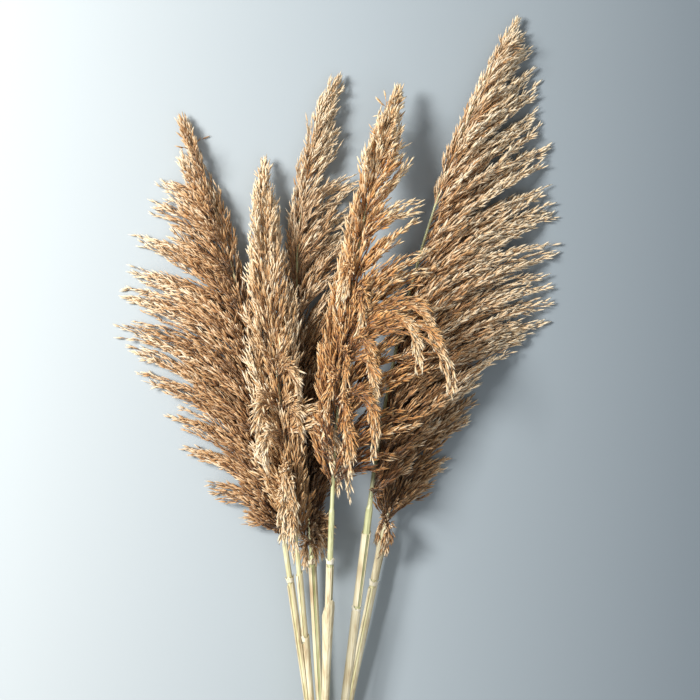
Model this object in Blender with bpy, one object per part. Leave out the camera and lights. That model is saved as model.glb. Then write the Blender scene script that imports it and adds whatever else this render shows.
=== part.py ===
"""A loose bundle of six dried pampas stalks, lying on a flat surface.

The stalks lie along Y, plumes at +Y and cut ends at -Y, and cross one another like the stems of a bunch
that was held in one hand.  The surface is z = 0, and the origin is the middle of the bundle's base.
Lengths are in millimetres here, and MM turns them into metres when a mesh is made.
"""

import math
from typing import NamedTuple

import bmesh
import bpy
import numpy as np

MM = 0.001
GAP = 0.3  # between pieces that touch
ROOT_GAP = 0.45  # between a rachis and the roots of its tufts
SIDES = 8  # round a culm

# A culm: the hard stem, which runs on through the plume as its thin rachis.
CUT_BORE_SHARE = 0.55  # hollow's radius over the culm's
CUT_BORE_DEPTH = 18.0
KNOT_SWELL = 1.14  # how much thicker the culm is at a joint
KNOT_HALF_LENGTH = 2.6
RACHIS_BASE_SHARE = 0.72  # the rachis's radius at the plume's foot, over the culm's
RACHIS_TIP_RADIUS = 0.45
RACHIS_STATIONS = 15

# A leaf sheath: a dry wrap round the culm, open along one side.
SHEATH_WALL = 0.4
SHEATH_WRAP = math.radians(318)
SHEATH_ROWS = 7
SHEATH_COLUMNS = 11

# A tuft: the branches that spring from one stretch of one side of the rachis.
TUFT_ROWS = 10
TUFT_COLUMNS = 6
TUFT_EDGE = 0.45  # half the thickness at its edges
TUFT_FULL_AT = 0.22  # where along the branches it is thickest
TUFT_FILL = 0.95  # share of its stretch that it takes up at the root
TUFT_POINT = 0.62  # how much it narrows towards its tip
BRANCH_LEAD = 0.42  # how far a branch runs straight before it bends over, over its span
BRANCH_ANGLE = math.radians(27)  # between a branch's foot and the rachis
BRANCH_ARCH = 0.06  # how far a branch rises before it droops, over its span
BRANCH_SWEEP = 1.55  # above 1, the branches' roots crowd towards the foot and sweep up to their tips


class Sheath(NamedTuple):
    name: str
    low: float  # y of its foot, just above a joint of the culm
    high: float  # y of its torn top
    flare: float  # how far its wall stands off at the top
    slant: float  # how much longer it is on its long side
    open_side: float  # direction of its open seam, in degrees from +X towards +Z


class Fan(NamedTuple):
    side: str
    tufts: int
    first: float  # share of the rachis at the lowest branch
    half_depth: float
    outline: tuple  # where the branches' tips lie, from the lowest branch to the top: x, y, z


class Stalk(NamedTuple):
    number: int
    radius: float  # of the culm
    cut: float  # y of the cut end
    lean: float  # how far the culm moves in x for each step down in y
    foot: tuple  # x, y, z of the plume's foot
    lead: float  # how far the rachis runs on in line with the culm
    bend: tuple  # the point that pulls the rachis over
    tip: tuple
    knots: tuple  # y of the culm's joints
    sheaths: tuple
    fans: tuple


# From the lowest stalk in the crossing to the highest: each rests on those before it.
STALKS = (
    Stalk(
        number=6, radius=2.6, cut=-366, lean=-0.206,
        foot=(38, -33, 11), lead=54, bend=(75, 72, 12), tip=(106, 121, 8),
        knots=(-318, -218, -80),
        sheaths=(
            Sheath("lower", -214, -84, 0.3, 6, 100),
            Sheath("upper", -76, -45, 1.6, 10, 20),
        ),
        fans=(
            Fan("right", 3, 0.05, 9.5, (
                (50, -38, 8), (75, -3, 5), (90, 32, 3), (110, 62, 2),
                (118, 88, 2), (112, 106, 5), (106, 121, 8),
            )),
            Fan("left", 2, 0.10, 9.5, (
                (32, -8, 10), (38, 30, 11), (56, 72, 11), (80, 106, 9), (106, 121, 8),
            )),
        ),
    ),
    Stalk(
        number=3, radius=2.5, cut=-372, lean=0.054,
        foot=(-22, -55, 12), lead=105, bend=(-56, 230, 14), tip=(-3, 327, 8),
        knots=(-330, -218, -62),
        sheaths=(Sheath("lower", -214, -66, 0.2, 5, 80),),
        fans=(
            Fan("right", 6, 0.03, 17.0, (
                (-6, -52, 8), (4, -34, 8), (6, 20, 12), (11, 80, 13),
                (13, 150, 13), (15, 222, 12), (9, 272, 9), (-3, 327, 8),
            )),
        ),
    ),
    Stalk(
        number=1, radius=2.2, cut=-375, lean=0.145,
        foot=(-44, -44, 21), lead=85, bend=(-80, 190, 20), tip=(-126, 295, 8),
        knots=(-312, -224, -76),
        sheaths=(Sheath("lower", -220, -80, 0.3, 5, 110),),
        fans=(
            Fan("left", 6, 0.03, 14.0, (
                (-66, -40, 9), (-106, -2, 1), (-140, 52, 0.3), (-171, 105, 0.3),
                (-177, 148, 0.3), (-165, 200, 0.5), (-148, 247, 3), (-126, 295, 8),
            )),
        ),
    ),
    Stalk(
        number=5, radius=2.8, cut=-375, lean=-0.126,
        foot=(25, -13, 39), lead=100, bend=(66, 240, 24), tip=(143, 375, 7),
        knots=(-306, -222, -98),
        sheaths=(
            Sheath("lower", -218, -102, 0.4, 5, 250),
            Sheath("upper", -94, -36, 0.2, 4, 60),
        ),
        fans=(
            Fan("right", 8, 0.03, 10.5, (
                (42, -12, 38), (74, 42, 30), (114, 90, 22), (152, 118, 4),
                (174, 134, 0.3), (177, 175, 0.3), (177, 218, 0.3), (175, 262, 0.3),
                (163, 314, 1), (157, 345, 3), (143, 375, 7),
            )),
        ),
    ),
    Stalk(
        number=2, radius=1.95, cut=-368, lean=0.088,
        foot=(-33, -45, 50), lead=105, bend=(-62, 150, 42), tip=(-61, 259, 14),
        knots=(-300, -232, -120),
        sheaths=(
            Sheath("lower", -228, -124, 0.9, 8, 150),
            Sheath("upper", -116, -68, 0.2, 4, 90),
        ),
        fans=(
            Fan("left", 3, 0.03, 11.5, (
                (-54, -50, 49), (-76, -8, 50), (-82, 45, 49), (-82, 105, 48),
                (-84, 162, 36), (-78, 205, 22), (-61, 259, 14),
            )),
            Fan("right", 3, 0.03, 11.5, (
                (-33, -40, 49), (-29, 0, 49), (-29, 60, 48), (-31, 120, 44),
                (-36, 172, 32), (-48, 225, 20), (-61, 259, 14),
            )),
        ),
    ),
    Stalk(
        number=4, radius=2.25, cut=-372, lean=-0.035,
        foot=(-5, -13, 64), lead=93, bend=(12, 215, 58), tip=(47, 317, 26),
        knots=(-222, -96, -56),
        sheaths=(
            Sheath("lower", -218, -101, 2.0, 16, 200),
            Sheath("upper", -92, -60, 0.2, 4, 30),
        ),
        fans=(
            Fan("left", 3, 0.03, 11.5, (
                (-11, 6, 64), (-18, 45, 64), (-21, 75, 63), (-12, 127, 60),
                (-4, 175, 55), (6, 222, 48), (20, 266, 40), (47, 317, 26),
            )),
            Fan("right", 5, 0.03, 11.5, (
                (16, -18, 62), (32, 12, 60), (48, 58, 56), (88, 96, 50), (78, 140, 50),
                (67, 190, 48), (68, 226, 44), (68, 262, 38), (47, 317, 26),
            )),
        ),
    ),
)

FINISHES = {  # colour and roughness
    "straw": ((0.62, 0.50, 0.27, 1.0), 0.5),
    "husk": ((0.55, 0.42, 0.22, 1.0), 0.6),
    "plume_tan": ((0.50, 0.33, 0.16, 1.0), 0.8),
    "plume_cream": ((0.66, 0.48, 0.26, 1.0), 0.8),
    "plume_brown": ((0.36, 0.21, 0.09, 1.0), 0.8),
    "plume_russet": ((0.52, 0.27, 0.11, 1.0), 0.8),
}
PLUME_FINISH = {
    1: "plume_tan",
    2: "plume_cream",
    3: "plume_brown",
    4: "plume_russet",
    5: "plume_tan",
    6: "plume_brown",
}


# ---------------------------------------------------------------- curves

def bezier(points, t):
    """The cubic curve through four control points, at each t from 0 to 1."""
    t = np.asarray(t, float)[..., None]
    a, b, c, d = (np.asarray(p, float) for p in points)
    return (1 - t) ** 3 * a + 3 * t * (1 - t) ** 2 * b + 3 * t**2 * (1 - t) * c + t**3 * d


def smooth_through(points, t):
    """A smooth curve through all the points (Catmull-Rom), at each t from 0 to 1."""
    p = np.asarray(points, float)
    p = np.vstack([2 * p[0] - p[1], p, 2 * p[-1] - p[-2]])
    at = np.clip(np.asarray(t, float), 0, 1) * (len(p) - 3)
    k = np.minimum(at.astype(int), len(p) - 4)
    f = (at - k)[..., None]
    a, b, c, d = p[k], p[k + 1], p[k + 2], p[k + 3]
    square = (2 * a - 5 * b + 4 * c - d) * f**2
    cube = (3 * b - a - 3 * c + d) * f**3
    return 0.5 * (2 * b + (c - a) * f + square + cube)


def unit(v):
    return v / np.maximum(np.linalg.norm(v, axis=-1, keepdims=True), 1e-9)


# ---------------------------------------------------------------- how the culms lie on one another

def culm_x(stalk, y):
    return stalk.foot[0] + stalk.lean * (stalk.foot[1] - y)


def reach(stalk, y):
    """How far the culm, its joints and its sheaths reach from their middle at y."""
    r = np.full_like(y, stalk.radius)
    for knot in stalk.knots:
        r = np.where(np.abs(y - knot) < KNOT_HALF_LENGTH, stalk.radius * KNOT_SWELL, r)
    for sheath in stalk.sheaths:
        inside = (y > sheath.low - 2) & (y < sheath.high + sheath.slant)
        row = np.clip((y - sheath.low) / (sheath.high - sheath.low), 0, 1)
        r = np.where(inside, stalk.radius + GAP + SHEATH_WALL + sheath.flare * row**3, r)
    return r


def cut_heights():
    """Height of each culm's cut end: the lowest at which it clears every culm under it by GAP."""
    found = {}
    for i, stalk in enumerate(STALKS):
        y = np.linspace(stalk.cut, stalk.foot[1] - 1, 400)
        share = (stalk.foot[1] - y) / (stalk.foot[1] - stalk.cut)
        low = stalk.radius * KNOT_SWELL + GAP
        for under in STALKS[:i]:
            run = (under.foot[1] - y) / (under.foot[1] - under.cut)
            under_z = under.foot[2] + (found[under.number] - under.foot[2]) * run
            clear = reach(stalk, y) + reach(under, y) + GAP
            apart = np.abs(culm_x(stalk, y) - culm_x(under, y))
            over = np.sqrt(np.maximum(clear**2 - apart**2, 0))
            need = np.where(over > 0, under_z + over, -np.inf)
            low = max(low, np.max(stalk.foot[2] + (need - stalk.foot[2]) / share))
        found[stalk.number] = low
    return found


CUT_HEIGHTS = cut_heights()


def culm_ends(stalk):
    cut = np.array([culm_x(stalk, stalk.cut), stalk.cut, CUT_HEIGHTS[stalk.number]])
    return cut, np.array(stalk.foot, float)


def rachis(stalk, s):
    """Middle of the rachis from the plume's foot (s = 0) to its tip (s = 1)."""
    cut, foot = culm_ends(stalk)
    lead = foot + unit(foot - cut) * stalk.lead
    lead[2] = foot[2] + (stalk.bend[2] - foot[2]) * 0.3
    return bezier((foot, lead, stalk.bend, stalk.tip), s)


def rachis_radius(stalk, s):
    start = stalk.radius * RACHIS_BASE_SHARE
    return start + (RACHIS_TIP_RADIUS - start) * np.asarray(s, float) ** 0.8


# ---------------------------------------------------------------- meshes

def finish_of(name):
    """A Principled material with the finish's own colour and roughness."""
    if name in bpy.data.materials:
        return bpy.data.materials[name]
    colour, roughness = FINISHES[name]
    material = bpy.data.materials.new(name)
    material.use_nodes = True
    shader = material.node_tree.nodes["Principled BSDF"]
    shader.inputs["Base Color"].default_value = colour
    shader.inputs["Roughness"].default_value = roughness
    shader.inputs["Metallic"].default_value = 0.0
    return material


def add_object(name, bm, finish, parent):
    mesh = bpy.data.meshes.new(name)
    bm.to_mesh(mesh)
    bm.free()
    mesh.shade_smooth()
    mesh.set_sharp_from_angle(angle=math.radians(50))
    piece = bpy.data.objects.new(name, mesh)
    piece.data.materials.append(finish_of(finish))
    piece.parent = parent
    bpy.context.scene.collection.objects.link(piece)
    return piece


def vertex_grid(bm, points):
    """Vertices of a bmesh on a grid of points in millimetres."""
    return [[bm.verts.new(p) for p in row] for row in (points * MM).tolist()]


def quad_strip(bm, one, other, closed=False):
    """Quads between two rows of vertices, which meet again at their ends if closed."""
    count = len(one) if closed else len(one) - 1
    for j in range(count):
        k = (j + 1) % len(one)
        bm.faces.new((one[j], one[k], other[k], other[j]))


def outward(bm):
    bmesh.ops.recalc_face_normals(bm, faces=bm.faces[:])


# ---------------------------------------------------------------- culms

def culm_profile(stalk):
    """Stations as (share of the culm, radius): out of the cut end's bore, then up the outside."""
    length = stalk.foot[1] - stalk.cut
    bore = stalk.radius * CUT_BORE_SHARE
    rows = [(CUT_BORE_DEPTH / length, bore), (0.0, bore), (0.0, stalk.radius)]
    for knot in sorted(stalk.knots):
        at = (knot - stalk.cut) / length
        half = KNOT_HALF_LENGTH / length
        rows += [(at - half, stalk.radius), (at, stalk.radius * KNOT_SWELL), (at + half, stalk.radius)]
    rows.append((1 - KNOT_HALF_LENGTH / length, stalk.radius))
    return np.array(rows)


def culm(stalk, parent):
    """One closed body: the bore's floor, the culm's outside and the rachis up to its tip."""
    cut, foot = culm_ends(stalk)
    profile = culm_profile(stalk)
    lower = cut + (foot - cut) * profile[:, :1]
    s = np.linspace(0, 1, RACHIS_STATIONS)
    middle = np.vstack([lower, rachis(stalk, s)])
    radius = np.concatenate([profile[:, 1], rachis_radius(stalk, s)])
    along = np.vstack([np.tile(foot - cut, (len(lower), 1)), np.gradient(rachis(stalk, s), axis=0)])
    along = unit(along)
    across = unit(np.cross(along, (0.0, 0.0, 1.0)))
    upward = np.cross(across, along)
    turn = np.linspace(0, 2 * math.pi, SIDES, endpoint=False)
    ring = np.cos(turn)[:, None, None] * across + np.sin(turn)[:, None, None] * upward
    points = (middle + ring * radius[:, None]).transpose(1, 0, 2)

    bm = bmesh.new()
    rows = vertex_grid(bm, points)
    for one, other in zip(rows, rows[1:]):
        quad_strip(bm, one, other, closed=True)
    bm.faces.new(rows[0])
    bm.faces.new(rows[-1])
    outward(bm)
    add_object(f"stem_{stalk.number}", bm, "straw", parent)


# ---------------------------------------------------------------- leaf sheaths

def sheath(stalk, made, parent):
    """A wrap round the culm, open along one seam and torn off at a slant, with a wall from Solidify."""
    cut, foot = culm_ends(stalk)
    along = unit(foot - cut)
    across = unit(np.cross(along, (0.0, 0.0, 1.0)))
    upward = np.cross(across, along)
    row = np.linspace(0, 1, SHEATH_ROWS)[:, None]
    column = np.linspace(0, 1, SHEATH_COLUMNS)[None, :]
    turn = math.radians(made.open_side) + (column - 0.5) * SHEATH_WRAP + math.pi
    torn = made.slant * (0.5 + 0.5 * np.cos((column - 0.62) * 2 * math.pi))
    y = made.low + (made.high - made.low + torn) * row
    share = (y - stalk.cut) / (stalk.foot[1] - stalk.cut)
    radius = stalk.radius + GAP + made.flare * row**3 + 0 * column
    middle = cut + (foot - cut) * share[..., None]
    ring = np.cos(turn)[..., None] * across + np.sin(turn)[..., None] * upward

    bm = bmesh.new()
    rows = vertex_grid(bm, middle + ring * radius[..., None])
    for one, other in zip(rows, rows[1:]):
        quad_strip(bm, other, one)
    piece = add_object(f"sheath_{stalk.number}_{made.name}", bm, "husk", parent)
    wall = piece.modifiers.new("wall", "SOLIDIFY")
    wall.thickness = SHEATH_WALL * MM
    wall.offset = 1.0


# ---------------------------------------------------------------- plumes

def branch(stalk, fan, s, f, u):
    """Points along the branches that start at share s of the rachis and end at share f of the outline."""
    sign = -1.0 if fan.side == "left" else 1.0
    step = 1e-3
    along = unit(rachis(stalk, np.minimum(s + step, 1)) - rachis(stalk, np.maximum(s - step, 0)))
    beside = sign * unit(np.cross(along, (0.0, 0.0, 1.0)))
    start = rachis(stalk, s) + beside * (rachis_radius(stalk, s) + ROOT_GAP)[..., None]
    end = smooth_through(fan.outline, f)
    span = np.linalg.norm(end - start, axis=-1)[..., None]
    heading = math.cos(BRANCH_ANGLE) * along + math.sin(BRANCH_ANGLE) * beside
    pull = start + heading * BRANCH_LEAD * span
    pull[..., 2] = start[..., 2] + BRANCH_ARCH * span[..., 0]
    u = u[..., None]
    return (1 - u) ** 2 * start + 2 * u * (1 - u) * pull + u**2 * end


def tuft_depth(u):
    """Half depth along a tuft, over its largest: it swells from the rachis and thins to the tips."""
    swell = np.sqrt(np.clip(1 - (1 - u / TUFT_FULL_AT) ** 2, 0, 1))
    thin = 1 - (np.clip(u - TUFT_FULL_AT, 0, 1) / (1 - TUFT_FULL_AT)) ** 1.4
    return np.where(u < TUFT_FULL_AT, swell, thin)


def tuft(stalk, fan, index, parent):
    """A closed lens between its first and last branch, flat where it would sink into the surface."""
    edges = np.linspace(0, 1, fan.tufts + 1)
    u = np.linspace(0, 1, TUFT_ROWS)[:, None]
    v = (1 - np.cos(np.linspace(0, math.pi, TUFT_COLUMNS))) / 2
    width = TUFT_FILL * (1 - TUFT_POINT * u**2.5)
    v = 0.5 + (v[None, :] - 0.5) * width
    f = edges[index] + (edges[index + 1] - edges[index]) * v
    s = fan.first + (1 - fan.first) * f**BRANCH_SWEEP
    u = u + 0 * v
    middle = branch(stalk, fan, s * 0.97, f, u * (1 - 0.14 * (2 * (v - 0.5)) ** 2 * u**2))
    shrink = np.minimum(1.0, 1.25 * (1 - f) + 0.12)
    round_off = np.sqrt(np.clip(1 - ((v - 0.5) / (0.5 * width)) ** 2, 0, 1))
    half = TUFT_EDGE + fan.half_depth * tuft_depth(u) * round_off * shrink
    top = middle.copy()
    top[..., 2] = np.maximum(middle[..., 2] + half, 2 * TUFT_EDGE)
    low = middle.copy()
    low[..., 2] = np.maximum(middle[..., 2] - half, 0.0)

    bm = bmesh.new()
    upper = vertex_grid(bm, top)
    lower = vertex_grid(bm, low)
    for sheet in (upper, lower):
        for one, other in zip(sheet, sheet[1:]):
            quad_strip(bm, one, other)
    quad_strip(bm, upper[0], lower[0])
    quad_strip(bm, upper[-1], lower[-1])
    quad_strip(bm, [row[0] for row in upper], [row[0] for row in lower])
    quad_strip(bm, [row[-1] for row in upper], [row[-1] for row in lower])
    outward(bm)
    name = f"plume_{stalk.number}_{fan.side}_tuft_{index + 1}"
    add_object(name, bm, PLUME_FINISH[stalk.number], parent)


def main():
    for old in list(bpy.data.objects):
        bpy.data.objects.remove(old)
    for stalk in sorted(STALKS):
        holder = bpy.data.objects.new(f"stalk_{stalk.number}", None)
        bpy.context.scene.collection.objects.link(holder)
        culm(stalk, holder)
        for made in stalk.sheaths:
            sheath(stalk, made, holder)
        for fan in stalk.fans:
            for index in range(fan.tufts):
                tuft(stalk, fan, index, holder)


main()
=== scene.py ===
# %% [markdown]
# # A bundle of dried pampas grass
#
# Six dried stalks lie on a table. Each has a hard hollow culm, dry leaf sheaths round it, and a plume:
# a thin rachis with hundreds of branches, which carry thousands of small pointed husks, the florets. The
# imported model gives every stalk's place and the outline of every tuft. This lesson makes the fine surface.

# %% Load the frame
import math

import bpy
import numpy as np
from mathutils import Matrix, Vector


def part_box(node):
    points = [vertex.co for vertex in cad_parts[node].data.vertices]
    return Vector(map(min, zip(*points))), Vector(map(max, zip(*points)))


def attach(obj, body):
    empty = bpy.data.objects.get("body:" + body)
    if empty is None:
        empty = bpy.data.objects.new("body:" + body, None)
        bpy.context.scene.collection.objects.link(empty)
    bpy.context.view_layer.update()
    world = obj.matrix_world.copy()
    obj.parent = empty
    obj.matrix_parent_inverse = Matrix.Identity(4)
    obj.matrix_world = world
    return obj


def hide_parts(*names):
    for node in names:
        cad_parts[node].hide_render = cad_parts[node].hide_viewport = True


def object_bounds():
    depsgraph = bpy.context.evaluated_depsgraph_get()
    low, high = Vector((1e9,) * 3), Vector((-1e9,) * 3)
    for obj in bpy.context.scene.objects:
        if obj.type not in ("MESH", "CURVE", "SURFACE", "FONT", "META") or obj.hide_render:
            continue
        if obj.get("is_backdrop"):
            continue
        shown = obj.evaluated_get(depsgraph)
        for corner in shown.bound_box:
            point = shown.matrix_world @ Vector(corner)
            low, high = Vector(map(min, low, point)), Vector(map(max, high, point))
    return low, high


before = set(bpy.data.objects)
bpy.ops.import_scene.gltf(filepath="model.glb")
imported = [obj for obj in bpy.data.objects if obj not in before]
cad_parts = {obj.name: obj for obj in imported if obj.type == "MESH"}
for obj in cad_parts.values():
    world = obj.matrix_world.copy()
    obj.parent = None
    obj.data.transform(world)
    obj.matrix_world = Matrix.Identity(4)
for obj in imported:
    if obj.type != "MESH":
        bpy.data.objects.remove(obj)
start_box = [list(corner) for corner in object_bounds()]
MM = 0.001
STALKS = range(1, 7)
print("nodes:", len(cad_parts), "box:", [[round(v, 4) for v in c] for c in start_box])

# %% [markdown]
# ## Camera
#
# The stalks lie flat, so the camera looks straight down on the plumes and the tops of the culms. A wide
# lens close by would spread the bunch towards the edges. A long lens from over a metre away keeps it true.

# %% Camera
VIEW_WIDTH = 560 * MM
VIEW_ASIDE = 9 * MM  # the view's middle, to the right of the bundle's
VIEW_DOWN = 264 * MM  # the view's middle, below the highest tip
LENS = 85.0
SENSOR = 36.0
low, high = np.array(start_box)
VIEW_MIDDLE = ((low[0] + high[0]) / 2 + VIEW_ASIDE, high[1] - VIEW_DOWN)
camera_data = bpy.data.cameras.new("camera")
camera_data.lens = LENS
camera_data.sensor_width = SENSOR
camera = bpy.data.objects.new("camera", camera_data)
camera.location = (*VIEW_MIDDLE, high[2] / 2 + VIEW_WIDTH * LENS / SENSOR)
bpy.context.scene.collection.objects.link(camera)
bpy.context.scene.camera = camera
bpy.context.scene.view_settings.view_transform = "Standard"
print("camera height:", round(camera.location.z, 3))


# %% A mesh from arrays
def mesh_object(name, points, triangles, uv=None):
    """One mesh object from arrays: points in metres, triangles as rows of three, uv one row per point."""
    mesh = bpy.data.meshes.new(name)
    mesh.vertices.add(len(points))
    mesh.vertices.foreach_set("co", np.asarray(points, np.float32).ravel())
    mesh.loops.add(triangles.size)
    mesh.loops.foreach_set("vertex_index", triangles.astype(np.int32).ravel())
    mesh.polygons.add(len(triangles))
    mesh.polygons.foreach_set("loop_start", np.arange(0, triangles.size, 3, dtype=np.int32))
    if uv is not None:
        layer = mesh.uv_layers.new(name="OFBake")
        layer.uv.foreach_set("vector", uv[triangles.ravel()].astype(np.float32).ravel())
    mesh.update(calc_edges=True)
    mesh.shade_smooth()
    made = bpy.data.objects.new(name, mesh)
    bpy.context.scene.collection.objects.link(made)
    return made


# %% Small helpers for materials
def new_material(name):
    """An empty Principled material: (material, nodes, links, shader)."""
    material = bpy.data.materials.new(name)
    material.use_nodes = True
    nodes = material.node_tree.nodes
    return material, nodes, material.node_tree.links, nodes["Principled BSDF"]


def colour_ramp(nodes, stops):
    """A colour ramp with the stops (place, red, green, blue)."""
    ramp = nodes.new("ShaderNodeValToRGB")
    band = ramp.color_ramp
    while len(band.elements) < len(stops):
        band.elements.new(0.5)
    for element, (place, *colour) in zip(band.elements, stops):
        element.position = place
        element.color = (*colour, 1.0)
    return ramp


def mapped(nodes, links, value, start, end, low_value=0.0, high_value=1.0):
    """The value's share of the way from start to end, as a number from low_value to high_value."""
    span = nodes.new("ShaderNodeMapRange")
    span.inputs["From Min"].default_value = start
    span.inputs["From Max"].default_value = end
    span.inputs["To Min"].default_value = low_value
    span.inputs["To Max"].default_value = high_value
    links.new(value, span.inputs["Value"])
    return span.outputs["Result"]


# %% [markdown]
# ## Table
#
# The bunch lies on plain matt paper. One flat colour would do, but here the window's light and shade are
# painted
# into the paper: a colour ramp runs across it, from pale on the left to grey on the right.

# %% Table
FLOOR_SIZE = 6.0
FLOOR_DROP = 0.4 * MM  # keeps the paper just clear of the lowest husks
# painted light and shade: the paper is pale on the window's side, at the left, and grey on the right
PAINTED_LIGHT_SIDE, PAINTED_SHADE_SIDE = -0.27, 0.29
PAPER_WITH_PAINTED_LIGHT = [(0.0, 0.50, 0.555, 0.585), (0.5, 0.345, 0.40, 0.44), (1.0, 0.185, 0.225, 0.26)]
corner = FLOOR_SIZE / 2
floor = mesh_object(
    "floor",
    np.array([(-corner, -corner, 0), (corner, -corner, 0), (corner, corner, 0), (-corner, corner, 0)]),
    np.array([(0, 1, 2), (0, 2, 3)]),
)
floor.location.z = -FLOOR_DROP
floor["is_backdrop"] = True
material, nodes, links, shader = new_material("floor_paper_painted_light")
place = nodes.new("ShaderNodeTexCoord")
split = nodes.new("ShaderNodeSeparateXYZ")
links.new(place.outputs["Object"], split.inputs[0])
paper = colour_ramp(nodes, PAPER_WITH_PAINTED_LIGHT)
links.new(mapped(nodes, links, split.outputs["X"], PAINTED_LIGHT_SIDE, PAINTED_SHADE_SIDE), paper.inputs["Fac"])
links.new(paper.outputs["Color"], shader.inputs["Base Color"])
shader.inputs["Roughness"].default_value = 0.9
floor.data.materials.append(material)
print("floor:", FLOOR_SIZE, "m square")

# %% [markdown]
# ## Light
#
# One large soft lamp stands to the left, as a window would, so the left of each plume is bright and its
# right side falls into shade. A weak lamp from above and a pale world keep that shade from going black.


# %% Lamps
def area_lamp(name, place, aim, size, power, colour):
    """A square soft lamp at place, turned towards aim."""
    data = bpy.data.lights.new(name, "AREA")
    data.size = size
    data.energy = power
    data.color = colour
    lamp = bpy.data.objects.new(name, data)
    lamp.location = place
    away = lamp.location - type(lamp.location)(aim)
    lamp.rotation_mode = "QUATERNION"
    lamp.rotation_quaternion = away.to_track_quat("Z", "Y")
    bpy.context.scene.collection.objects.link(lamp)


LAMP_AIM = (0, 0.1, 0)
area_lamp("window", (-1.15, 0.6, 1.45), LAMP_AIM, 0.6, 56.0, (1.0, 0.97, 0.93))
area_lamp("fill", (0.5, -0.6, 1.9), LAMP_AIM, 1.6, 9.0, (0.93, 0.96, 1.0))
world = bpy.data.worlds.new("room")
bpy.context.scene.world = world
world.use_nodes = True
world.node_tree.nodes["Background"].inputs["Color"].default_value = (1.0, 0.98, 0.95, 1.0)
world.node_tree.nodes["Background"].inputs["Strength"].default_value = 0.30

# %% [markdown]
# ## Measure the stalks
#
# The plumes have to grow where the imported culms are. Their middle lines could be typed in again, but then
# the two could part, so they are read from the meshes. A culm is a closed tube made of rings. Sorting its
# points along Y and starting a new group at each gap finds the rings, and a ring's mean is a point of the
# middle line. Where the rings turn thin the culm ends and the rachis starts.


# %% Vectors and smooth curves
def unit(v):
    """Vectors of length one in the same directions."""
    return v / np.maximum(np.linalg.norm(v, axis=-1, keepdims=True), 1e-12)


def through(at, points, t):
    """The smooth curve that passes each point at its own value in at: cubic pieces with matched slopes."""
    at = np.asarray(at, float)
    t = np.clip(np.asarray(t, float), at[0], at[-1])
    slope = np.gradient(points, at, axis=0)
    k = np.clip(np.searchsorted(at, t, side="right") - 1, 0, len(at) - 2)
    step = (at[k + 1] - at[k])[..., None]
    f = (t - at[k])[..., None] / step
    rise = 3 * f**2 - 2 * f**3
    return (
        points[k] * (1 - rise) + points[k + 1] * rise
        + slope[k] * step * (f**3 - 2 * f**2 + f) + slope[k + 1] * step * (f**3 - f**2)
    )


# %% Measure culms and rachises
RING_BREAK = 0.9 * MM  # a larger step along Y starts a new ring
PLAIN_RINGS = slice(2, 7)  # rings low on the culm, clear of its cut end
THICK_SHARE = 0.9  # a ring under this share of the culm's radius belongs to the rachis


def node_points(name):
    """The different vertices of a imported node, one row each."""
    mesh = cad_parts[name].data
    flat = np.empty(len(mesh.vertices) * 3, np.float32)
    mesh.vertices.foreach_get("co", flat)
    return np.unique(np.round(flat.reshape(-1, 3).astype(float), 6), axis=0)


def measure_stalk(number):
    """Ring centres and radii of a culm, and the rachis's centres from the plume's foot to its tip."""
    points = node_points(f"stem_{number}")
    points = points[np.argsort(points[:, 1])]
    ring = np.concatenate([[0], np.cumsum(np.diff(points[:, 1]) > RING_BREAK)])
    count = np.bincount(ring)
    centre = np.stack([np.bincount(ring, points[:, i]) / count for i in range(3)], axis=1)
    radius = np.bincount(ring, np.linalg.norm(points - centre[ring], axis=1)) / count
    thick = radius > THICK_SHARE * np.median(radius[PLAIN_RINGS])
    foot = int(np.nonzero(thick)[0][-1]) + 1
    return {"centre": centre, "radius": radius, "foot": foot, "rachis": centre[foot:]}


def rachis_at(number, s):
    """Middle of the rachis at share s of its length, 0 at the plume's foot and 1 at its tip."""
    line = stalks[number]["rachis"]
    return through(np.linspace(0, 1, len(line)), line, s)


def rachis_way(number, s):
    """The rachis's direction at share s of its length."""
    return unit(rachis_at(number, s + 0.01) - rachis_at(number, s - 0.01))


stalks = {number: measure_stalk(number) for number in STALKS}
for number, stalk in stalks.items():
    print("stalk", number, "rings", len(stalk["centre"]), "foot", np.round(stalk["rachis"][0] / MM, 1),
          "tip", np.round(stalk["rachis"][-1] / MM, 1), "radius", round(stalk["radius"][3] / MM, 2))

# %% [markdown]
# ## Measure the fans
#
# A plume's branches spread to one side or both, as a fan. Its plain tufts show how far they reach: the
# point of each tuft that is farthest from the plume's foot lies on the fan's outline.

# %% Measure the fans
TIP_SHARE = 0.66  # where along its own stretch of the outline a tuft reaches farthest
FIRST_REACH = 0.65  # how far towards the plume's foot the outline starts, from the first tuft's tip


def measure_fan(number, side):
    """Where the branches of one side end, as a smooth line, and how deep the fan is."""
    names = sorted(
        (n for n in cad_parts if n.startswith(f"plume_{number}_{side}_tuft_")),
        key=lambda n: int(n.rsplit("_", 1)[1]),
    )
    foot = stalks[number]["rachis"][0]
    tips = []
    depths = []
    for name in names:
        points = node_points(name)
        tips.append(points[np.argmax(np.linalg.norm(points - foot, axis=1))])
        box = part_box(name)
        depths.append((box[1].z - box[0].z) / 2)
    shares = [0.0] + [(i + TIP_SHARE) / len(names) for i in range(len(names))] + [1.0]
    outline = np.array([tips[0] + FIRST_REACH * (foot - tips[0]), *tips, stalks[number]["rachis"][-1]])
    return {"number": number, "side": side, "nodes": names, "shares": shares, "outline": outline,
            "depth": float(np.median(depths))}


# %% [markdown]
# ## Branches
#
# A branch leaves the rachis at a narrow angle, bends over and ends on the fan's outline. Blender's hair
# could grow them, but hair has no thickness of its own and leaves no mesh. Each branch is a bent line
# instead: start, pull and end, worked out for a whole fan at once. Branches do not spread evenly: groups
# of them run together into one pointed finger, with gaps between. So a branch gets its place from its
# finger, and the branches of a finger start apart and meet at its tip.

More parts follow.
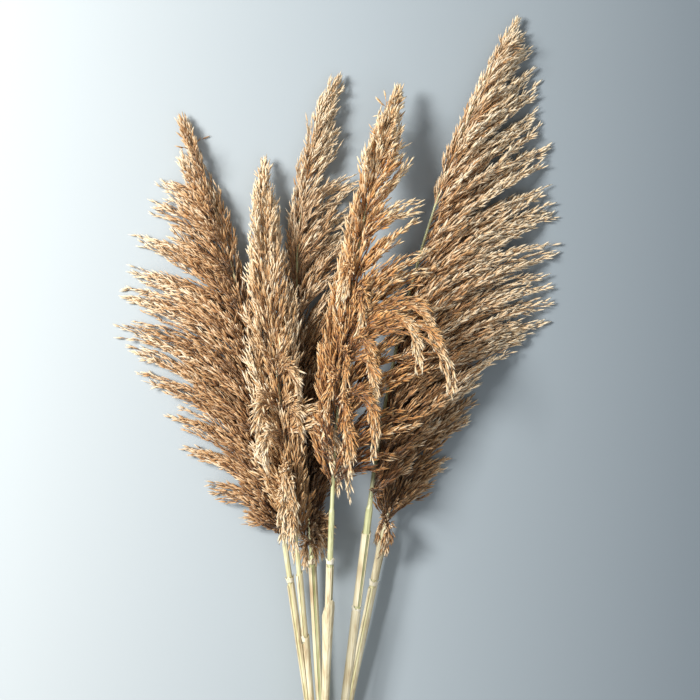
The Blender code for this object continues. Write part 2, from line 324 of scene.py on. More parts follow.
# %% Branch shape
STATIONS = 10  # points along a branch
BRANCH_LEAD = 0.42  # how far a branch runs straight before it bends over, over its span
BRANCH_ANGLE = math.radians(27)  # between a branch's foot and the rachis
BRANCH_SWEEP = 1.55  # above 1, the branches' roots crowd towards the plume's foot
BRANCH_ARCH = 0.06  # how far a branch rises before it droops, over its span
FINGER_SCATTER = 0.22  # how far a finger stands off its even place, in fingers
FINGER_SPREAD = 0.62  # how far a branch starts from its finger's middle, in fingers
TIP_MEETING = 0.40  # share of that distance which is left at the finger's tip
LONG_SHARE = 0.45  # share of the branches that reach the outline
ROOT_OUT = 0.8 * MM  # a branch starts this far beside the rachis's middle
SWAY = 1.6 * MM
LOWEST_LINE = 2.2 * MM  # leaves room for the florets under a branch
DEEPEST_AT = 0.25  # share of a branch at which the fan is deepest


def depth_share(u):
    """How deep the fan is along a branch: it swells near the rachis and thins to the tips."""
    swell = np.sqrt(np.clip(1 - (1 - u / DEEPEST_AT) ** 2, 0, 1))
    thin = 1 - (np.clip(u - DEEPEST_AT, 0, 1) / (1 - DEEPEST_AT)) ** 1.3
    return np.where(u < DEEPEST_AT, swell, thin)


def bent(start, pull, end, u):
    """Points of lines that leave start towards pull and reach end at u = 1: a quadratic curve each."""
    return (1 - u) ** 2 * start[:, None] + 2 * u * (1 - u) * pull[:, None] + u**2 * end[:, None]


# %% Branches of a fan
def branch_lines(fan, plan, rng):
    """A fan's branches as bent lines from the rachis to the outline, points (branch, station, xyz), with
    each one's reach, layer in the fan's depth, shares u of the full length, and share f of the fan."""
    fingers = plan["fingers"]
    finger = np.repeat(np.arange(fingers), plan["each"])
    scatter = rng.uniform(-FINGER_SCATTER, FINGER_SCATTER, fingers)[finger]
    middle = ((finger + 0.5 + scatter) / fingers) ** plan["crowd"]
    spread = rng.uniform(-FINGER_SPREAD, FINGER_SPREAD, finger.size) / fingers
    f_tip = np.clip(middle + TIP_MEETING * spread, 0.01, 0.995)
    f_root = np.clip(middle + spread, 0.005, 0.99)
    s = 0.02 + 0.95 * f_root**BRANCH_SWEEP
    number = fan["number"]
    sign = -1.0 if fan["side"] == "left" else 1.0
    along = rachis_way(number, s)
    beside = sign * unit(np.cross(along, (0.0, 0.0, 1.0)))
    start = rachis_at(number, s) + beside * ROOT_OUT
    end = through(fan["shares"], fan["outline"], f_tip)
    reach = np.where(rng.random(finger.size) < LONG_SHARE, rng.uniform(0.86, 1.0, finger.size),
                     rng.uniform(0.42, 0.9, finger.size))
    layer = rng.uniform(-1, 1, finger.size)
    span = np.linalg.norm(end - start, axis=1)[:, None]
    turn = BRANCH_ANGLE * rng.uniform(0.6, 1.25, finger.size)[:, None]
    heading = np.cos(turn) * along + np.sin(turn) * beside
    pull = start + heading * BRANCH_LEAD * span
    pull[:, 2] = start[:, 2] + BRANCH_ARCH * span[:, 0]
    u = np.linspace(0, 1, STATIONS)[None, :, None] * reach[:, None, None]
    line = bent(start, pull, end, u)
    lift = layer[:, None] * fan["depth"] * 0.8 * depth_share(u[..., 0])
    line[..., 2] = np.maximum(line[..., 2] + lift, LOWEST_LINE)
    sway = rng.normal(0, SWAY, (finger.size, 1, 3)) * np.sin(u * math.pi * rng.uniform(1, 2.2))
    line += sway * np.array([1, 1, 0.3])
    return {"line": line, "layer": layer, "u": u[..., 0], "f": middle}


# %% [markdown]
# ## Fringe and tassels
#
# The thin rachis hardly shows, because short branches stand all round it and lie close along it. On the
# stalks that lie on top, some branches have come loose at the front and hang back towards the foot as
# tassels. Both are lines like the others, so the same brush of florets goes round them.


# %% Turning directions
def splayed(direction, angle, roll):
    """Directions turned off by angle, at roll round the old direction; and a vector square to each."""
    side = unit(np.cross(direction, (0.0, 0.0, 1.0)) + 1e-9)
    lift = np.cross(side, direction)
    out = side * np.cos(roll)[:, None] + lift * np.sin(roll)[:, None]
    new = direction * np.cos(angle)[:, None] + out * np.sin(angle)[:, None]
    return unit(new), unit(out * np.cos(angle)[:, None] - direction * np.sin(angle)[:, None])


def as_lines(start, pull, end, outer, f):
    """Bent lines from start towards pull and on to end, in the form that branch_lines gives."""
    u = np.linspace(0, 1, STATIONS)[None, :, None]
    line = bent(start, pull, end, u)
    line[..., 2] = np.maximum(line[..., 2], LOWEST_LINE)
    count = len(start)
    share = np.broadcast_to(u[..., 0], (count, STATIONS)) * outer
    return {"line": line, "layer": np.full(count, 0.4), "u": share, "f": f}


# %% Short branches round the rachis
FRINGE_ANGLE = (10, 30)
FRINGE_END = 0.985


def fringe_lines(number, plan, rng):
    """Short branches all round the rachis: each leaves it at 10 to 30 degrees and turns back along it."""
    count = plan["count"]
    s = np.linspace(plan["from"], FRINGE_END, count) + rng.uniform(-0.01, 0.01, count)
    start = rachis_at(number, s)
    along = rachis_way(number, s)
    turn = np.radians(rng.uniform(*FRINGE_ANGLE, count)) * (1 - 0.65 * s**3)
    heading, _ = splayed(along, turn, rng.uniform(0, 2 * math.pi, count))
    length = (plan["long"] * MM * (1 - 0.45 * s) * rng.uniform(0.5, 1.1, count))[:, None]
    room = np.linalg.norm(rachis_at(number, np.ones(count)) - start, axis=1)[:, None]
    length = np.minimum(length, room * 0.98 + 2 * MM)
    return as_lines(start, start + heading * length * 0.5, start + (heading + along) * length * 0.5,
                    plan["outer"], s)


# %% Hanging tassels
TASSEL_STRANDS = 5
TASSEL_LIFT = 15 * MM  # how far a tassel's end lies in front of the rachis


def tassel_lines(number, tassels, rng):
    """Branches that rise from the rachis, bend over and hang back: each tassel is (share of the rachis,
    how far aside, how far up, how far down, all but the first in millimetres), and a few lines make one."""
    plan = np.repeat(np.array(tassels, float), TASSEL_STRANDS, axis=0)
    count = len(plan)
    s = np.clip(plan[:, 0] + rng.uniform(-0.015, 0.015, count), 0.005, 1)
    aside = (plan[:, 1] + rng.normal(0, 1.5, count))[:, None] * MM
    up = (plan[:, 2] * rng.uniform(0.8, 1.2, count))[:, None] * MM
    down = (plan[:, 3] * rng.uniform(0.8, 1.05, count))[:, None] * MM
    start = rachis_at(number, s)
    along = rachis_way(number, s)
    across = unit(np.cross(along, (0.0, 0.0, 1.0)))
    pull = start + along * 2 * up + across * 0.8 * aside
    end = start + across * aside - along * down
    pull[:, 2] += 2 * TASSEL_LIFT
    end[:, 2] = start[:, 2] + TASSEL_LIFT
    return as_lines(start, pull, end, 1.0, s)


# %% [markdown]
# ## Florets
#
# A floret is a slim pointed husk about 9 mm long and under 2 mm wide, brown at its base and pale at its
# tip. A flat card with a cut-out picture would be lighter, but it shows its edge from the side and has no
# closed surface. There are tens of thousands, so each is a closed lens of only 12 triangles.

# %% Floret meshes
FLORET_RINGS = ((0.30, 0.50), (0.70, 0.36))  # share of the length, and half width over the width
FLORET_FLAT = 0.62  # thickness over width
TONE_SPREAD = 0.004  # the three sides differ a little, so that the UV map has an area
THREE_SIDES = np.array([0.5, 7 / 6, 11 / 6]) * math.pi


def floret_triangles():
    """Corner numbers of one lens: point 0, rings 1-3 and 4-6, point 7."""
    one = [(0, 2, 1), (0, 3, 2), (0, 1, 3)]
    for k in range(3):
        a, b = 1 + k, 1 + (k + 1) % 3
        one += [(a, b, b + 3), (a, b + 3, a + 3), (a + 3, b + 3, 7)]
    return np.array(one)


def florets(base, axis, side, length, width, tone, curl):
    """Closed three-sided lenses, all at once: a base point, two rings of three and a tip point. Each ring's
    middle lies on the axis at its share of the length, and moves aside by curl times that share squared."""
    count = len(base)
    lift = np.cross(axis, side)
    points = np.empty((count, 8, 3))
    uv = np.empty((count, 8, 2))
    points[:, 0] = base
    points[:, 7] = base + axis * length[:, None] + side * (curl * length)[:, None]
    uv[:, 0] = np.stack([np.full(count, 0.02), tone], axis=1)
    uv[:, 7] = np.stack([np.full(count, 0.98), tone], axis=1)
    for row, (t, share) in enumerate(FLORET_RINGS):
        middle = base + axis * (t * length)[:, None] + side * (curl * t**2 * length)[:, None]
        for k, angle in enumerate(THREE_SIDES):
            offset = side * math.cos(angle) + lift * math.sin(angle) * FLORET_FLAT
            at = 1 + 3 * row + k
            points[:, at] = middle + offset * (share * width)[:, None]
            uv[:, at] = np.stack([np.full(count, t), tone + (k - 1) * TONE_SPREAD], axis=1)
    triangles = floret_triangles()[None] + 8 * np.arange(count)[:, None, None]
    return points.reshape(-1, 3), triangles.reshape(-1, 3), uv.reshape(-1, 2)


# %% [markdown]
# ## Twigs and branches as tubes
#
# A branch and its side twigs are round, but under 1.3 mm thick, so three sides are enough to catch light
# and shade. A bevelled curve would do the same one object at a time; here a whole fan is one array.


# %% Tube meshes
def tubes(line, radius, tone):
    """Closed three-sided tubes along lines (tube, station, xyz), with radius and tone (tube, station)."""
    count, rows, _ = line.shape
    along = unit(np.gradient(line, axis=1))
    side = unit(np.cross(along, (0.0, 0.0, 1.0)))
    lift = np.cross(side, along)
    ring = side[:, :, None] * np.cos(THREE_SIDES)[:, None] + lift[:, :, None] * np.sin(THREE_SIDES)[:, None]
    points = line[:, :, None] + ring * radius[:, :, None, None]
    u = np.broadcast_to(np.linspace(0.06, 0.42, rows)[None, :, None], (count, rows, 3))
    v = np.broadcast_to(tone[:, :, None], (count, rows, 3)) + (np.arange(3) - 1) * TONE_SPREAD
    uv = np.stack([u, v], axis=-1)
    one = [(0, 1, 2), (3 * rows - 1, 3 * rows - 2, 3 * rows - 3)]
    for r in range(rows - 1):
        for k in range(3):
            a, b = 3 * r + k, 3 * r + (k + 1) % 3
            one += [(a, a + 3, b + 3), (a, b + 3, b)]
    triangles = np.array(one)[None] + 3 * rows * np.arange(count)[:, None, None]
    return points.reshape(-1, 3), triangles.reshape(-1, 3), uv.reshape(-1, 2)


def join(parts):
    """Several (points, triangles, uv) as one."""
    start = np.cumsum([0] + [len(p[0]) for p in parts[:-1]])
    return (
        np.concatenate([p[0] for p in parts]),
        np.concatenate([p[1] + s for p, s in zip(parts, start)]),
        np.concatenate([p[2] for p in parts]),
    )


# %% Places along lines
def sample_lines(line, step, begin, rng):
    """Places along every line, a step apart with some scatter: line index, share of its length."""
    length = np.linalg.norm(np.diff(line, axis=1), axis=2).sum(axis=1)
    count = np.maximum((length * (1 - begin) / step).astype(int), 2)
    index = np.repeat(np.arange(len(line)), count)
    order = np.arange(count.sum()) - np.repeat(np.cumsum(count) - count, count)
    share = begin + (1 - begin) * (order + rng.uniform(0.1, 0.9, index.size)) / count[index]
    return index, np.clip(share, 0, 1)


def point_on(line, index, share):
    """Point and direction at a share of each line, by straight steps between its stations."""
    rows = line.shape[1]
    at = np.clip(share * (rows - 1), 0, rows - 1.001)
    k = at.astype(int)
    f = (at - k)[:, None]
    a, b = line[index, k], line[index, k + 1]
    return a + (b - a) * f, unit(b - a)


# %% [markdown]
# ## The brush round every branch
#
# Short twigs leave a branch at a narrow angle all round and turn back along it, and florets sit along
# the twigs in the same way, so the branch becomes a soft brush that tapers to its tip. A floret's tone,
# its lightness from 0 to 1, is worked out here too: it rises towards the tips of the branches and towards
# the top of the plume, with a little chance in it. Both rises are partly the husks' own colour and partly
# painted shade, deep in the brush near the rachis and at the plume's foot. Branches low in the fan's depth
# are a little darker too, painted shade under the branches above them.

# %% Twigs
TWIG_STEP = 4.6 * MM
TWIG_SHORTEST = 5  # in millimetres, at the tip of a branch
TWIG_ANGLE = (8, 24)
TWIG_BEND = 0.75  # how far a twig turns back along its branch
TWIG_RADIUS = np.array([0.30, 0.22, 0.10]) * MM
BARE_FOOT = 0.03  # share of a branch with no twigs at its root


def twig_lines(lines, plan, rng):
    """Twigs along every branch: three points each, the branch's index, share along it, and taper, which
    falls from 1 to 0 over the branch's outer part and is less near the plume's tip."""
    index, share = sample_lines(lines["line"], TWIG_STEP, BARE_FOOT, rng)
    root, direction = point_on(lines["line"], index, share)
    taper = np.clip(1.25 * (1 - share), 0.0, 1.0) ** 0.7 * (1 - 0.6 * lines["f"][index] ** 4)
    length = (TWIG_SHORTEST + plan["brush"] * taper) * MM * rng.uniform(0.65, 1.2, index.size)
    heading, _ = splayed(
        direction, np.radians(rng.uniform(*TWIG_ANGLE, index.size)), rng.uniform(0, 2 * math.pi, index.size)
    )
    tip = root + (heading * (1 - TWIG_BEND / 2) + direction * TWIG_BEND / 2) * length[:, None]
    knee = root + heading * (0.5 * length)[:, None]
    return np.stack([root, knee, tip], axis=1), index, share, taper


# %% Florets on the twigs
FLORET_STEP = 2.7 * MM
FLORET_BARE = 0.15  # share of a twig with no florets at its root
FLORET_ANGLE = (5, 17)
FLORET_WIDTH = (0.17, 0.25)  # over the length
LOWEST_BASE = 1.2 * MM
LEVEL_BELOW = 6 * MM  # florets that start lower than this lie almost level


def floret_places(twigs, taper, plan, rng):
    """Base, axis, side, length and width of every floret, and its twig's index and share along it."""
    index, share = sample_lines(twigs, FLORET_STEP, FLORET_BARE, rng)
    base, direction = point_on(twigs, index, share)
    count = index.size
    axis, side = splayed(
        direction, np.radians(rng.uniform(*FLORET_ANGLE, count)), rng.uniform(0, 2 * math.pi, count)
    )
    length = plan["floret"] * MM * rng.uniform(0.72, 1.2, count) * (0.86 + 0.2 * taper[index])
    width = length * rng.uniform(*FLORET_WIDTH, count)
    base[:, 2] = np.maximum(base[:, 2], LOWEST_BASE)
    axis[:, 2] = np.where(base[:, 2] < LEVEL_BELOW, np.abs(axis[:, 2]) * 0.3, axis[:, 2])
    axis = unit(axis)
    side = unit(side - axis * (side * axis).sum(1, keepdims=True))
    return base, axis, side, length, width, index, share


# %% The brush
TONE_CHANCE = {"branch": 0.13, "twig": 0.05, "floret": 0.11}
BRANCH_RADIUS = (0.62 * MM, 0.22 * MM)  # at its root and at its tip
TABLE_CLEAR = 0.5 * MM
SOFT_TOP = high[2] - 8 * MM  # above it the florets are pressed down to stay in the bundle's box


def brush(lines, plan, rng):
    """Branches, twigs and florets of a set of lines, as (points, triangles, uv)."""
    line = lines["line"]
    twigs, index, share, taper = twig_lines(lines, plan, rng)
    outer = lines["u"][index, -1] * share
    # own is a branch's tone: partly its colour, partly painted shade, darker towards the plume's foot (rise)
    # and low in the fan's depth (layer)
    own = (plan["tone"] + plan["rise"] * lines["f"] + rng.normal(0, TONE_CHANCE["branch"], len(line))
           + 0.06 * lines["layer"])
    # pale lightens towards a branch's tip: partly the husks' own colour, partly painted shade deep in the
    # brush near the rachis
    shade = own[index] + plan["pale"] * outer**1.7 + rng.normal(0, TONE_CHANCE["twig"], index.size)
    *floret, f_index, f_share = floret_places(twigs, taper, plan, rng)
    chance = rng.normal(0, TONE_CHANCE["floret"], f_index.size)
    tone = np.clip(shade[f_index] + chance + 0.10 * f_share, 0.03, 0.97)
    radius = np.linspace(*BRANCH_RADIUS, STATIONS)[None] * np.ones((len(line), 1))
    branch_tone = np.clip(own + 0.1, 0.05, 0.9)[:, None] * np.ones((1, STATIONS))
    points, triangles, uv = join([
        florets(*floret, tone, rng.uniform(-0.1, 0.1, f_index.size)),
        tubes(twigs, TWIG_RADIUS * np.ones((index.size, 1)),
              np.clip(shade, 0.05, 0.95)[:, None] * np.ones((1, 3))),
        tubes(line, radius, branch_tone),
    ])
    points[:, 2] = np.maximum(points[:, 2], TABLE_CLEAR)
    over = np.maximum(points[:, 2] - SOFT_TOP, 0)
    points[:, 2] -= over * 0.6
    return points, triangles, uv


# %% [markdown]
# ## Plume colours
#
# A floret's colour depends on two things only: how far along the husk a point is, and how light that
# floret is. Both are in the piece's UV map, with the length along U and the tone along V. Painting a
# colour on every corner would work too, but it can't be changed later. Here three colour ramps run along
# the husk, for the darkest, the middling and the lightest florets, and the tone mixes them.

# %% Colours of the four kinds of plume
# The first ramp of each kind, near black, is partly the husks' brown and partly painted shade for florets
# deep in the plume.
PLUME_COLOURS = {
    "plume_tan": (
        [(0.0, 0.060, 0.020, 0.006), (0.45, 0.15, 0.056, 0.015),
         (0.8, 0.27, 0.115, 0.034), (1.0, 0.44, 0.23, 0.09)],
        [(0.0, 0.30, 0.125, 0.038), (0.4, 0.52, 0.27, 0.105),
         (0.75, 0.70, 0.45, 0.22), (1.0, 0.86, 0.68, 0.44)],
        [(0.0, 0.55, 0.34, 0.16), (0.3, 0.82, 0.64, 0.41), (0.65, 0.94, 0.83, 0.63), (1.0, 0.98, 0.94, 0.82)],
    ),
    "plume_cream": (
        [(0.0, 0.10, 0.036, 0.009), (0.45, 0.25, 0.105, 0.028),
         (0.8, 0.40, 0.20, 0.065), (1.0, 0.56, 0.34, 0.15)],
        [(0.0, 0.36, 0.16, 0.05), (0.4, 0.60, 0.34, 0.14), (0.75, 0.78, 0.54, 0.28), (1.0, 0.90, 0.74, 0.50)],
        [(0.0, 0.60, 0.38, 0.18), (0.3, 0.86, 0.68, 0.43), (0.65, 0.95, 0.84, 0.63), (1.0, 0.98, 0.94, 0.82)],
    ),
    # Plumes 3 and 6 lie under the others. Their kind is plume_tan a little darker: partly their browner
    # colour, partly painted shade.
    "plume_brown": (
        [(0.0, 0.045, 0.015, 0.004), (0.45, 0.115, 0.043, 0.012),
         (0.8, 0.21, 0.09, 0.028), (1.0, 0.36, 0.19, 0.08)],
        [(0.0, 0.24, 0.10, 0.032), (0.4, 0.45, 0.235, 0.092),
         (0.75, 0.64, 0.41, 0.20), (1.0, 0.82, 0.63, 0.40)],
        [(0.0, 0.50, 0.30, 0.14), (0.3, 0.78, 0.59, 0.37), (0.65, 0.91, 0.79, 0.58), (1.0, 0.97, 0.91, 0.77)],
    ),
    "plume_russet": (
        [(0.0, 0.055, 0.016, 0.004), (0.45, 0.15, 0.046, 0.010),
         (0.8, 0.28, 0.10, 0.024), (1.0, 0.45, 0.21, 0.065)],
        [(0.0, 0.38, 0.135, 0.030), (0.4, 0.62, 0.29, 0.085),
         (0.75, 0.80, 0.49, 0.20), (1.0, 0.92, 0.70, 0.42)],
        [(0.0, 0.62, 0.36, 0.15), (0.3, 0.86, 0.64, 0.36), (0.65, 0.95, 0.82, 0.58), (1.0, 0.98, 0.93, 0.79)],
    ),
}


# %% Plume materials
def mixed(nodes, links, factor, one, other):
    """The colour between one and other at the factor."""
    mix = nodes.new("ShaderNodeMix")
    mix.data_type = "RGBA"
    links.new(factor, mix.inputs["Factor"])
    sockets = [i for i in mix.inputs if i.type == "RGBA"]
    links.new(one, sockets[0])
    links.new(other, sockets[1])
    return [o for o in mix.outputs if o.type == "RGBA"][0]


def stretched_noise(nodes, links, source, scale, detail):
    """Noise on coordinates from source, finer along the axes with a larger scale."""
    stretch = nodes.new("ShaderNodeMapping")
    stretch.inputs["Scale"].default_value = scale
    links.new(source, stretch.inputs["Vector"])
    noise = nodes.new("ShaderNodeTexNoise")
    noise.inputs["Scale"].default_value = 1.0
    noise.inputs["Detail"].default_value = detail
    links.new(stretch.outputs["Vector"], noise.inputs["Vector"])
    return noise.outputs["Fac"]


def bumped(nodes, links, shader, height, strength, distance):
    """Raises the shader's surface by the height, at most by the distance."""
    bump = nodes.new("ShaderNodeBump")
    bump.inputs["Strength"].default_value = strength
    bump.inputs["Distance"].default_value = distance
    links.new(height, bump.inputs["Height"])
    links.new(bump.outputs["Normal"], shader.inputs["Normal"])


def plume_material(name):
    """Three ramps along the floret mixed by its tone, with fine lengthwise veins in roughness and bump."""
    material, nodes, links, shader = new_material(name + "_florets")
    uv = nodes.new("ShaderNodeUVMap")
    uv.uv_map = "OFBake"
    split = nodes.new("ShaderNodeSeparateXYZ")
    links.new(uv.outputs["UV"], split.inputs[0])
    ramps = []
    for stops in PLUME_COLOURS[name]:
        ramp = colour_ramp(nodes, stops)
        links.new(split.outputs["X"], ramp.inputs["Fac"])
        ramps.append(ramp.outputs["Color"])
    tone = split.outputs["Y"]
    colour = mixed(nodes, links, mapped(nodes, links, tone, 0.0, 0.5), ramps[0], ramps[1])
    colour = mixed(nodes, links, mapped(nodes, links, tone, 0.5, 1.0), colour, ramps[2])
    links.new(colour, shader.inputs["Base Color"])
    veins = stretched_noise(nodes, links, uv.outputs["UV"], (5.0, 420.0, 1.0), 2.0)
    links.new(mapped(nodes, links, veins, 0.0, 1.0, 0.5, 0.78), shader.inputs["Roughness"])
    bumped(nodes, links, shader, veins, 0.25, 0.1 * MM)
    shader.inputs["Specular IOR Level"].default_value = 0.3
    shader.inputs["Sheen Weight"].default_value = 0.3
    shader.inputs["Sheen Roughness"].default_value = 0.45
    shader.inputs["Sheen Tint"].default_value = (1.0, 0.90, 0.74, 1.0)
    return material


plume_materials = {name: plume_material(name) for name in PLUME_COLOURS}
print("plume materials:", list(plume_materials))

# %% [markdown]
# ## What makes each plume its own
#
# All six plumes come from the same functions, and these tables make them differ. Columns: crowd, below 1,
# brings the fingers closer together towards the plume's tip; fingers and each are the number of fingers
# and of branches in one; brush is the longest twig in millimetres, past the shortest. Tone is the
# lightness at the plume's foot, rise is added to it by the top, and pale by the branches' tips.
# Parts is the number of pieces a fan is split into.

# %% Plans
SLOT_OF = {
    1: "plume_tan", 2: "plume_cream", 3: "plume_brown", 4: "plume_russet", 5: "plume_tan", 6: "plume_brown",
}
FLORET_LENGTH = {1: 8.6, 2: 9.0, 3: 8.6, 4: 8.8, 5: 9.4, 6: 8.4}
FAN_COLUMNS = ("crowd", "fingers", "each", "brush", "tone", "pale", "rise", "parts")
# The low tones and large rises of plumes 3, 4 and 5, here and in FRINGES, are partly their colour and partly
# painted shade where their feet lie deep among the other plumes.
FANS = {
    (1, "left"): (0.86, 14, 15, 12, -0.10, 0.85, 0.45, 3),
    (2, "left"): (0.86, 7, 12, 12, 0.12, 0.60, 0.50, 2),
    (2, "right"): (0.86, 7, 12, 12, 0.00, 0.50, 0.65, 2),
    (3, "right"): (0.86, 10, 18, 13, -0.40, 0.55, 1.40, 3),
    (4, "left"): (0.66, 7, 11, 12, -0.32, 0.40, 1.15, 2),
    (4, "right"): (0.70, 10, 12, 12, -0.40, 0.80, 1.15, 3),
    (5, "right"): (0.86, 17, 16, 12, -0.30, 1.25, 1.10, 4),
    (6, "left"): (0.86, 4, 11, 12, -0.05, 0.60, 0.30, 1),
    (6, "right"): (0.86, 6, 13, 12, 0.05, 0.65, 0.30, 1),
}
# from: share of the rachis where the fringe starts; long: its longest branch, in millimetres;
# outer: how pale a fringe branch's tip is, against a fan branch's.
FRINGE_COLUMNS = ("count", "from", "long", "outer", "brush", "tone", "pale", "rise")
FRINGES = {
    1: (80, 0.10, 58, 0.70, 9, -0.10, 0.5, 0.65),
    2: (90, 0.03, 50, 0.80, 11, 0.10, 0.5, 0.60),
    3: (110, 0.01, 60, 0.75, 10, -0.35, 0.5, 1.30),
    4: (84, 0.20, 50, 0.75, 10, -0.28, 0.4, 1.10),
    5: (64, 0.64, 44, 0.85, 9, 0.00, 0.5, 0.85),
    6: (50, 0.05, 44, 0.75, 9, 0.00, 0.4, 0.30),
}
TASSELS = {
    2: [(0.38, -20, 8, 26), (0.30, -17, 8, 22), (0.20, -4, 8, 28), (0.14, -9, 6, 34), (0.17, 2, 8, 40),
        (0.10, -3, 6, 34), (0.46, 16, 8, 20), (0.36, 14, 8, 24), (0.33, 46, 14, 62), (0.30, 36, 12, 50)],
    4: [(0.36, 3, 12, 36), (0.26, 8, 12, 38), (0.40, 26, 14, 34), (0.36, 30, 12, 36), (0.27, 33, 12, 36),
        (0.20, 14, 12, 36), (0.42, 58, 22, 10), (0.40, 86, 28, 22), (0.44, 70, 24, 4), (0.31, -8, 12, 36),
        (0.50, 12, 12, 24), (0.56, -6, 10, 22)],
    3: [(0.02, -4, 8, 12), (0.04, 9, 9, 10), (0.06, 14, 10, 6), (0.03, 3, 8, 10)],
    6: [(0.02, 3, 4, 24), (0.03, -6, 5, 14)],
}
TASSEL_COLUMNS = ("brush", "tone", "pale", "rise")
TASSEL_LOOKS = {
    2: (8, 0.40, 0.60, 0.0), 3: (6, 0.30, 0.50, 0.0), 4: (7, 0.05, 1.00, 0.2), 6: (4, 0.30, 0.40, 0.0),
}


# %% Make the plumes
def plume_piece(name, number, lines, plan, rng, nodes=()):
    """One piece of a plume: a brush of florets on each of its lines, in the plume's own colours."""
    piece = mesh_object(name, *brush(lines, {"floret": FLORET_LENGTH[number], **plan}, rng))
    slot = SLOT_OF[number]
    piece.data.materials.append(plume_materials[slot])
    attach(piece, "root")
    if nodes:
        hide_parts(*nodes)
    print(name, "triangles", len(piece.data.polygons))
    return len(piece.data.polygons)


def make_fan(fan, plan):
    """The fan's branches with their florets, in a few pieces from its foot to its tip."""
    number, side = fan["number"], fan["side"]
    rng = np.random.default_rng(1000 * number + len(side))
    lines = branch_lines(fan, plan, rng)
    parts = plan["parts"]
    group = np.minimum((lines["f"] * parts).astype(int), parts - 1)
    count = len(fan["nodes"])
    made = 0
    for part in range(parts):
        chosen = {key: value[group == part] for key, value in lines.items()}
        nodes = [n for i, n in enumerate(fan["nodes"]) if i * parts // count == part]
        made += plume_piece(f"plume_{number}_{side}_florets_{part + 1}", number, chosen, plan, rng, nodes)
    return made


total = 0
for (number, side), row in FANS.items():
    total += make_fan(measure_fan(number, side), dict(zip(FAN_COLUMNS, row)))
for number, row in FRINGES.items():
    plan = dict(zip(FRINGE_COLUMNS, row))
    rng = np.random.default_rng(500 + number)
    total += plume_piece(f"plume_{number}_fringe", number, fringe_lines(number, plan, rng), plan, rng)
for number, tassels in TASSELS.items():
    plan = dict(zip(TASSEL_COLUMNS, TASSEL_LOOKS[number]))
    rng = np.random.default_rng(800 + number)
    total += plume_piece(f"plume_{number}_tassels", number, tassel_lines(number, tassels, rng), plan, rng)
print("plume triangles", total)

# %% [markdown]
# ## Culms and sheaths
#
# A dried culm is straw: pale, a little glossy, with fine fibres along it and darker patches. Wave bands
# would look drawn, so the fibres are noise stretched along the stalk, on object coordinates, and coarse
# noise adds the patches. Some culms stay greener. The sheaths are drier and duller, with coarser fibres.

# %% Straw and husk
FIBRE_LENGTH = 0.02  # how much coarser the fibres are along the stalk than across it, as a scale
FIBRE_SHARE, BLOTCH_SHARE = 0.55, 0.45
BLOTCH_SCALE = 28.0


def fibre_material(name, dark, middle, light, roughness, across):
    """Straw with lengthwise fibres: noise stretched along Y for colour, roughness and bump."""
    material, nodes, links, shader = new_material(name)
    place = nodes.new("ShaderNodeTexCoord").outputs["Object"]
    fibres = stretched_noise(nodes, links, place, (across, across * FIBRE_LENGTH, across), 4.0)
    blotch = nodes.new("ShaderNodeTexNoise")
    blotch.inputs["Scale"].default_value = BLOTCH_SCALE
    blotch.inputs["Detail"].default_value = 3.0
    links.new(place, blotch.inputs["Vector"])
    part = nodes.new("ShaderNodeMath")
    part.operation = "MULTIPLY"
    part.inputs[1].default_value = FIBRE_SHARE
    links.new(fibres, part.inputs[0])
    blend = nodes.new("ShaderNodeMath")
    blend.operation = "MULTIPLY_ADD"
    blend.inputs[1].default_value = BLOTCH_SHARE
    links.new(blotch.outputs["Fac"], blend.inputs[0])
    links.new(part.outputs[0], blend.inputs[2])
    ramp = colour_ramp(nodes, [(0.32, *dark), (0.5, *middle), (0.68, *light)])
    links.new(blend.outputs[0], ramp.inputs["Fac"])
    links.new(ramp.outputs["Color"], shader.inputs["Base Color"])
    rough = mapped(nodes, links, fibres, 0.0, 1.0, roughness - 0.1, roughness + 0.15)
    links.new(rough, shader.inputs["Roughness"])
    bumped(nodes, links, shader, fibres, 0.35, 0.15 * MM)
    return material


CULM_FIBRES = 1400
SHEATH_FIBRES = 900
GREEN_STALKS = (3, 4, 5)
straw = fibre_material("straw", (0.40, 0.33, 0.15), (0.64, 0.60, 0.34), (0.82, 0.79, 0.57), 0.42, CULM_FIBRES)
green_straw = fibre_material(
    "green_straw", (0.30, 0.30, 0.13), (0.52, 0.54, 0.28), (0.76, 0.75, 0.50), 0.40, CULM_FIBRES
)
husk = fibre_material("husk", (0.36, 0.22, 0.11), (0.70, 0.62, 0.40), (0.88, 0.83, 0.65), 0.58, SHEATH_FIBRES)
for name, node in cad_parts.items():
    if name.startswith("stem_"):
        finish = green_straw if int(name[-1]) in GREEN_STALKS else straw
    elif name.startswith("sheath_"):
        finish = husk
    else:
        continue
    node.data.materials.clear()
    node.data.materials.append(finish)
    print(name, finish.name)

# %% [markdown]
# ## Papery collars
#
# Each joint of a culm keeps the torn foot of an old leaf: a thin pale collar with a ragged rim. It is a
# surface of two parameters, the way round and the height. The rim's height and flare rise and fall with a
# few waves round the culm, and Solidify gives it a wall.

# %% Collar mesh
COLLAR_ROWS, COLLAR_COLUMNS = 7, 40
COLLAR_HEIGHT = 4.2  # in millimetres, as are the other numbers of a collar
COLLAR_SINK = 1.2  # how far its foot lies below the joint's middle
COLLAR_GAP = 0.30  # between the culm and the collar's foot
COLLAR_FLARE = 0.75  # how much farther its rim stands off
RIM_WAVES = (2, 3, 5, 8, 13)


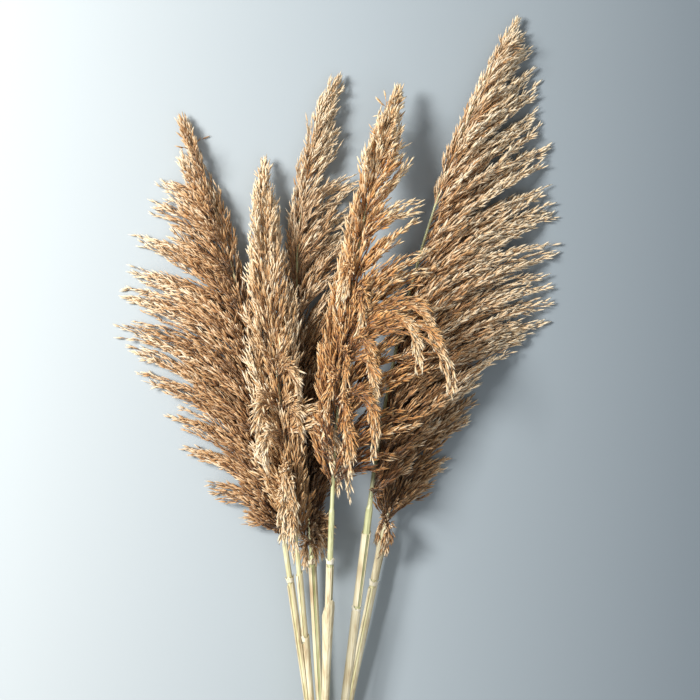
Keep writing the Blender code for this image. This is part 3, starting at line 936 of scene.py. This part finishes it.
def collar(middle, along, radius, rng):
    """Points, triangles and UV of one ragged collar: a tube whose height and radius both grow with t from
    foot to rim, the height in step with a sum of waves round the culm, the radius with t squared."""
    rows, columns = COLLAR_ROWS, COLLAR_COLUMNS
    t = np.linspace(0, 1, rows)[:, None]
    turn = np.linspace(0, 2 * math.pi, columns, endpoint=False)[None, :]
    wave = sum(np.sin(k * turn + rng.uniform(0, 6.3)) * rng.uniform(0.3, 1.0) / k**0.5 for k in RIM_WAVES)
    height = (COLLAR_HEIGHT + 1.5 * wave) * MM * t - COLLAR_SINK * MM
    out = radius + (COLLAR_GAP + COLLAR_FLARE * t**2 + 0.22 * wave * t) * MM
    across = unit(np.cross(along, (0.0, 0.0, 1.0)))
    upward = np.cross(across, along)
    ring = np.cos(turn)[..., None] * across + np.sin(turn)[..., None] * upward
    points = middle + ring * out[..., None] + along * height[..., None]
    a = (np.arange(rows - 1)[:, None] * columns + np.arange(columns)).ravel()
    b = (np.arange(rows - 1)[:, None] * columns + (np.arange(columns) + 1) % columns).ravel()
    triangles = np.concatenate([np.stack([a, a + columns, b + columns], 1), np.stack([a, b + columns, b], 1)])
    return points.reshape(-1, 3), triangles, np.zeros((rows * columns, 2))


# %% Collars at the joints
COLLAR_WALL = 0.18 * MM
JOINT_SWELL = 1.07  # a ring this much thicker than the culm is a joint
paper_husk = fibre_material(
    "paper_husk", (0.62, 0.50, 0.32), (0.84, 0.78, 0.60), (0.93, 0.90, 0.78), 0.6, 1100
)
for number, stalk in stalks.items():
    rng = np.random.default_rng(300 + number)
    foot = stalk["foot"]
    culm_radius = np.median(stalk["radius"][:foot])
    joints = [k for k in range(foot) if stalk["radius"][k] > JOINT_SWELL * culm_radius]
    along = unit(stalk["centre"][foot - 1] - stalk["centre"][0])
    rings = [collar(stalk["centre"][k], along, stalk["radius"][k], rng) for k in joints]
    points, triangles, _ = join(rings)
    piece = mesh_object(f"collars_{number}", points, triangles)
    wall = piece.modifiers.new("wall", "SOLIDIFY")
    wall.thickness = COLLAR_WALL
    wall.offset = 0.0
    piece.data.materials.append(paper_husk)
    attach(piece, "root")

# %% [markdown]
# ## Finish
#
# The box of the imported model and the box of the visible pieces are written down, so that the two can be
# compared.

# %% Sizes and table
end_box = [list(corner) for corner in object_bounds()]
{"cad": start_box, "visual": end_box}.__repr__().replace("'", '"')
print("visual box:", [[round(v, 4) for v in c] for c in end_box])
